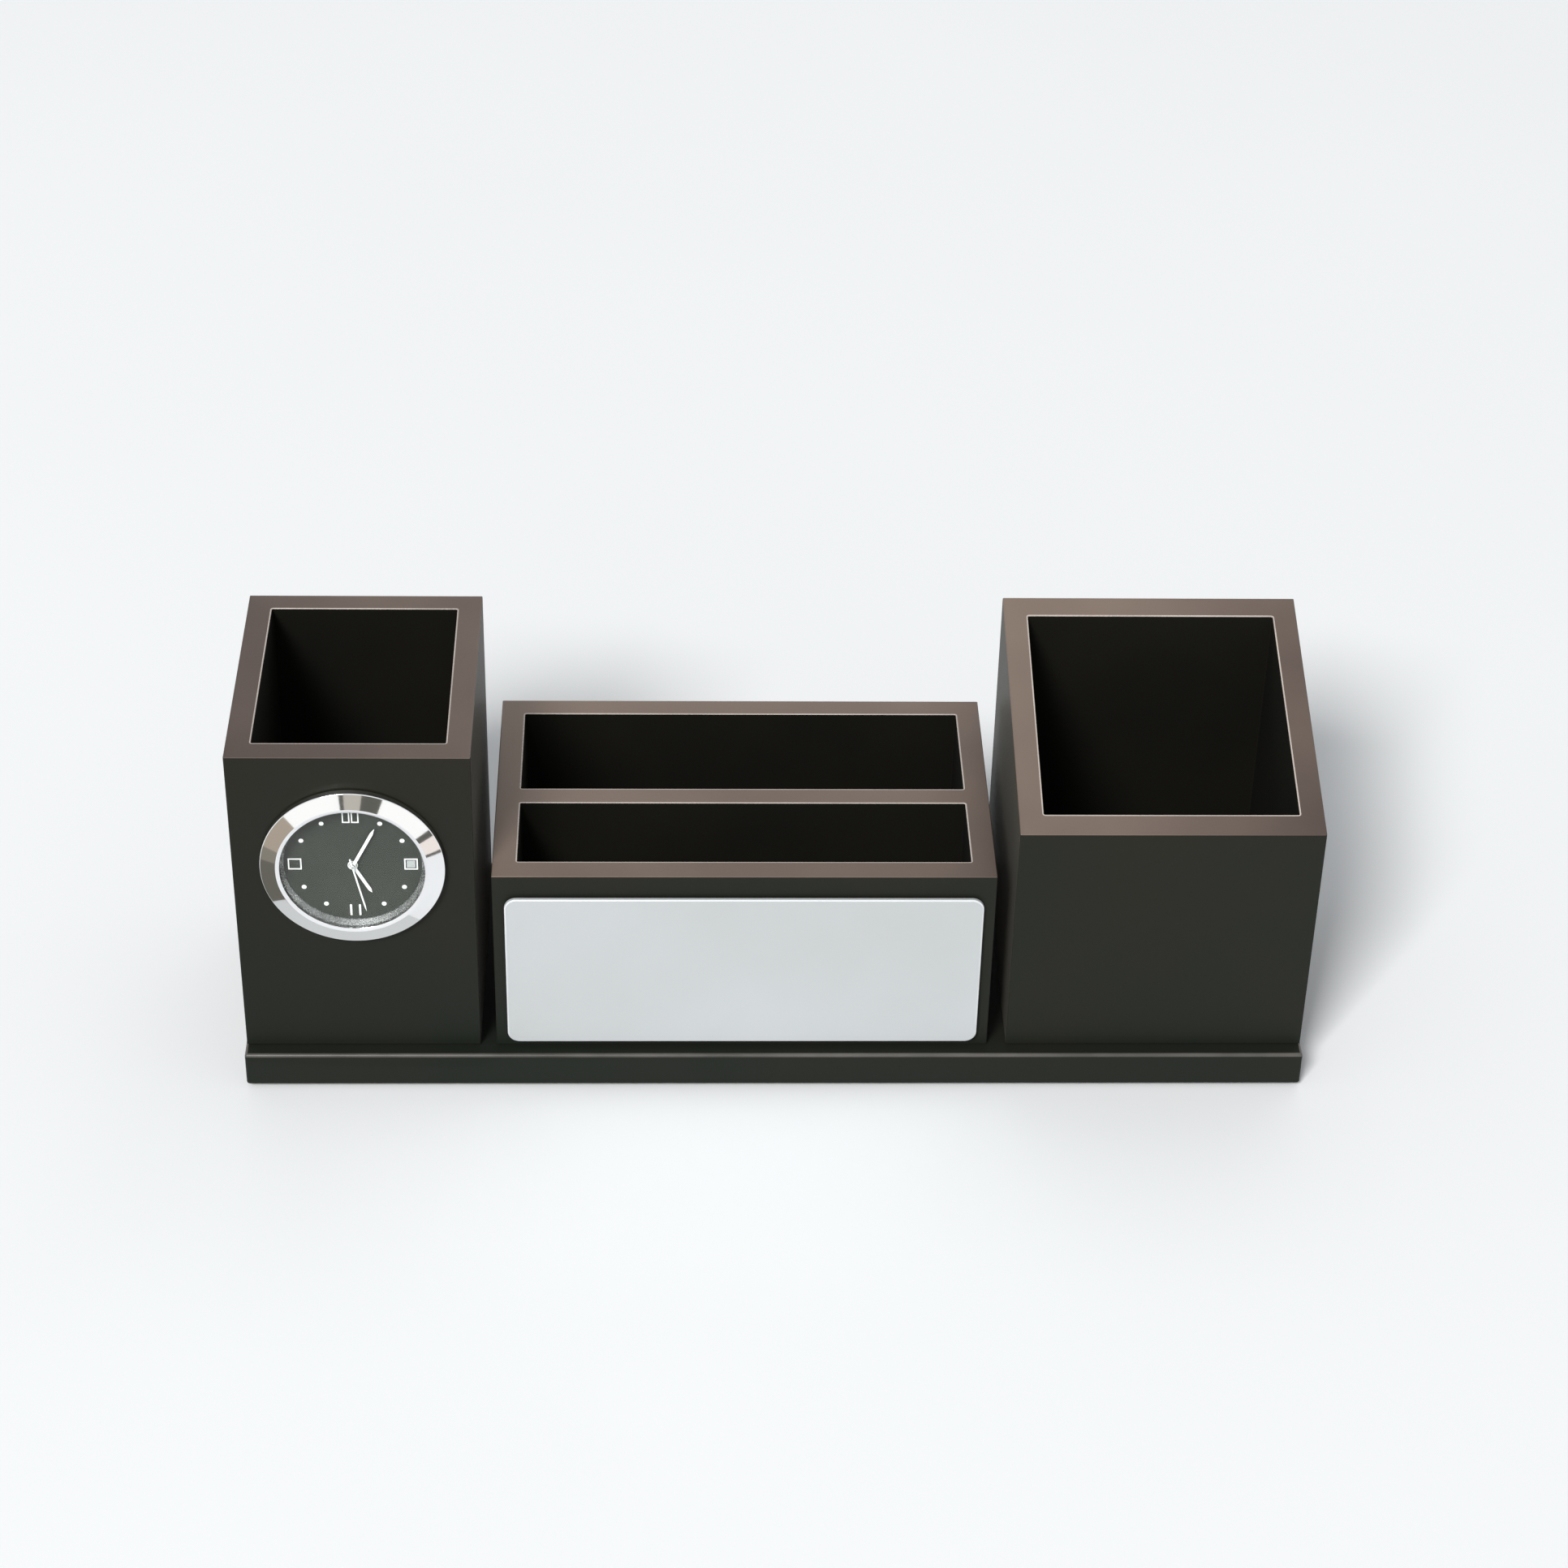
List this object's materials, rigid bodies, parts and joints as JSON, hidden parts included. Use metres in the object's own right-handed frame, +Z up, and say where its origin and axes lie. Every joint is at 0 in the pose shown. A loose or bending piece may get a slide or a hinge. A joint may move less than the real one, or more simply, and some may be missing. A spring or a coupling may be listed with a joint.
{
  "type": "desk organiser with clock",
  "caption": "Desk organiser on one base plate: tall pen cup with a push-in analogue clock, low slotted card box with a blank name plate, and a pen cup with a raked mouth.",
  "frame": {"origin": "under the middle of the base, on the surface it stands on", "axes": "+X to the right as seen from the front, +Y towards the back, +Z up"},
  "size_m": [0.22, 0.066, 0.0824],
  "materials": {
    "charcoal_lacquer": "satin charcoal lacquer",
    "black_lining": "matt black",
    "taupe_edging": "satin taupe anodised",
    "black_felt": "felt",
    "adhesive_tape": "foam tape",
    "brushed_plate": "satin anodised",
    "chrome": "polished",
    "crystal": "clear",
    "dial": "matt dark grey green",
    "white_hands": "white lacquer",
    "rubber": "matt",
    "brass": "satin",
    "steel": "satin",
    "silver": "satin",
    "black_plastic": "matt",
    "copper": "enamelled copper wire",
    "green_board": "solder mask"
  },
  "bodies": {
    "organiser": {"left_box_front": "charcoal_lacquer", "left_box_back": "charcoal_lacquer", "left_box_left_side": "charcoal_lacquer", "left_box_right_side": "charcoal_lacquer", "left_box_floor": "black_lining", "left_box_rim": "taupe_edging", "left_box_screw_1": "steel", "left_box_screw_2": "steel", "middle_box_front": "charcoal_lacquer", "middle_box_back": "charcoal_lacquer", "middle_box_left_side": "charcoal_lacquer", "middle_box_right_side": "charcoal_lacquer", "middle_box_floor": "black_lining", "middle_box_rim": "taupe_edging", "middle_box_screw_1": "steel", "middle_box_screw_2": "steel", "right_box_front": "charcoal_lacquer", "right_box_back": "charcoal_lacquer", "right_box_left_side": "charcoal_lacquer", "right_box_right_side": "charcoal_lacquer", "right_box_floor": "black_lining", "right_box_rim": "taupe_edging", "right_box_screw_1": "steel", "right_box_screw_2": "steel", "middle_box_divider": "charcoal_lacquer", "base_plate": "charcoal_lacquer", "base_felt": "black_felt", "name_plate": "brushed_plate", "name_plate_tape": "adhesive_tape"},
    "clock_insert": {"clock_bezel": "chrome", "clock_crystal": "crystal", "chapter_ring": "silver", "clock_dial": "dial", "clock_cup": "steel", "grip_ring": "rubber", "dial_spacer": "black_plastic", "main_plate": "brass", "train_bridge": "black_plastic", "stator": "steel", "coil": "copper", "circuit_board": "green_board", "quartz_can": "steel", "battery": "silver", "battery_contact": "steel"},
    "minute_train": {"minute_hand": "white_hands", "cannon_pinion": "steel", "centre_wheel": "brass"},
    "hour_train": {"hour_hand": "white_hands", "hour_wheel": "steel"},
    "second_train": {"second_hand": "white_hands", "second_wheel": "steel"},
    "minute_wheel": {"minute_wheel": "brass"},
    "third_wheel": {"third_wheel": "brass"},
    "intermediate_wheel": {"intermediate_wheel": "brass"},
    "rotor": {"rotor": "steel"},
    "setting": {"setting_arbor": "brass", "setting_knob": "black_plastic"},
    "case_back": {"case_back": "black_plastic"}
  },
  "joints": [
    {"name": "insert_slide", "type": "slide", "parent": "organiser", "child": "clock_insert", "axis": [0, -1, 0], "range_m": [0, 0.015]},
    {"name": "case_back_lift", "type": "slide", "parent": "clock_insert", "child": "case_back", "axis": [0, 1, 0], "range_m": [0, 0.008]},
    {"name": "minute_turn", "type": "hinge", "parent": "clock_insert", "child": "minute_train", "pos_m": [-0.0855, -0.0297, 0.0564], "axis": [0, 1, 0], "continuous": true},
    {"name": "hour_turn", "type": "hinge", "parent": "clock_insert", "child": "hour_train", "pos_m": [-0.0855, -0.0297, 0.0564], "axis": [0, 1, 0], "continuous": true},
    {"name": "second_turn", "type": "hinge", "parent": "clock_insert", "child": "second_train", "pos_m": [-0.0855, -0.0297, 0.0564], "axis": [0, 1, 0], "continuous": true},
    {"name": "minute_wheel_turn", "type": "hinge", "parent": "clock_insert", "child": "minute_wheel", "pos_m": [-0.08748, -0.0297, 0.05296], "axis": [0, 1, 0], "continuous": true},
    {"name": "third_wheel_turn", "type": "hinge", "parent": "clock_insert", "child": "third_wheel", "pos_m": [-0.09195, -0.0297, 0.05754], "axis": [0, 1, 0], "continuous": true},
    {"name": "intermediate_wheel_turn", "type": "hinge", "parent": "clock_insert", "child": "intermediate_wheel", "pos_m": [-0.0802, -0.0297, 0.06011], "axis": [0, 1, 0], "continuous": true},
    {"name": "rotor_turn", "type": "hinge", "parent": "clock_insert", "child": "rotor", "pos_m": [-0.07947, -0.0297, 0.06422], "axis": [0, 1, 0], "continuous": true},
    {"name": "setting_turn", "type": "hinge", "parent": "clock_insert", "child": "setting", "pos_m": [-0.08947, -0.0297, 0.04953], "axis": [0, 1, 0], "continuous": true}
  ],
  "couplings": [
    {"joint": "minute_turn", "follows": "second_turn", "ratio": 0.016667},
    {"joint": "hour_turn", "follows": "second_turn", "ratio": 0.0013889},
    {"joint": "minute_wheel_turn", "follows": "second_turn", "ratio": -0.0055556},
    {"joint": "third_wheel_turn", "follows": "second_turn", "ratio": -0.16667},
    {"joint": "intermediate_wheel_turn", "follows": "second_turn", "ratio": -5},
    {"joint": "rotor_turn", "follows": "second_turn", "ratio": 30},
    {"joint": "setting_turn", "follows": "second_turn", "ratio": 0.016667}
  ]
}
